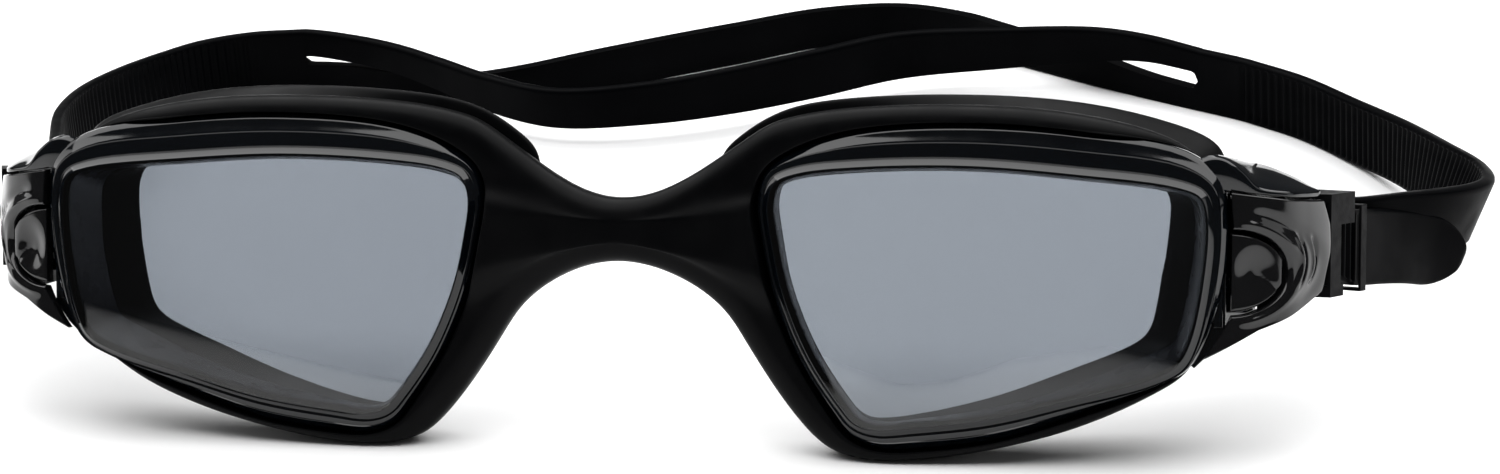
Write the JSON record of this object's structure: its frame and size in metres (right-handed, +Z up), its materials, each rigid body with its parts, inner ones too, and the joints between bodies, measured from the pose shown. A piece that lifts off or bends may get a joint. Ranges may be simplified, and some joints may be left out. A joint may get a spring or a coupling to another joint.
{
  "type": "swim goggles",
  "caption": "Swim goggles with smoked lens cups in a one-piece silicone frame, side clips with release levers and a split silicone head strap.",
  "frame": {"origin": "on the table, at the middle of the bounding box's length and depth", "axes": "+X to the right of someone looking at the front of the lenses, +Y back towards the head strap, +Z up from the table the goggles stand on"},
  "size_m": [0.201, 0.1503, 0.0408],
  "materials": {
    "silicone": "soft matte moulded silicone",
    "smoke_lens": "clear polished, smoke tinted",
    "gloss_black": "polished",
    "matte_black": "fine moulded texture",
    "steel": "drawn wire"
  },
  "bodies": {
    "goggles": {"silicone_frame": "silicone", "head_strap": "silicone", "right_lens": "smoke_lens", "right_clip_cover": "gloss_black", "right_clip_base": "matte_black", "right_lever_pin": "steel", "right_lever_spring": "steel", "right_roller_pin": "steel", "right_strap_keeper": "matte_black", "left_lens": "smoke_lens", "left_clip_cover": "gloss_black", "left_clip_base": "matte_black", "left_lever_pin": "steel", "left_lever_spring": "steel", "left_roller_pin": "steel", "left_strap_keeper": "matte_black"},
    "right_lever": {"right_release_lever": "gloss_black"},
    "left_lever": {"left_release_lever": "gloss_black"},
    "right_roller": {"right_strap_roller": "matte_black"},
    "left_roller": {"left_strap_roller": "matte_black"}
  },
  "joints": [
    {"name": "right_lever_hinge", "type": "hinge", "parent": "goggles", "child": "right_lever", "pos_m": [0.0775, -0.06272, 0.02093], "axis": [0, -0.2924, -0.9563], "range_deg": [0, 6], "stiffness_Nm_per_rad": 0.01, "springref_deg": -5.73},
    {"name": "left_lever_hinge", "type": "hinge", "parent": "goggles", "child": "left_lever", "pos_m": [-0.0775, -0.06272, 0.02093], "axis": [0, 0.2924, 0.9563], "range_deg": [0, 6], "stiffness_Nm_per_rad": 0.01, "springref_deg": -5.73},
    {"name": "right_roller_spin", "type": "hinge", "parent": "goggles", "child": "right_roller", "pos_m": [0.0793, -0.05379, 0.02071], "axis": [0, 0.2924, 0.9563], "continuous": true},
    {"name": "left_roller_spin", "type": "hinge", "parent": "goggles", "child": "left_roller", "pos_m": [-0.0793, -0.05379, 0.02071], "axis": [0, 0.2924, 0.9563], "continuous": true}
  ]
}
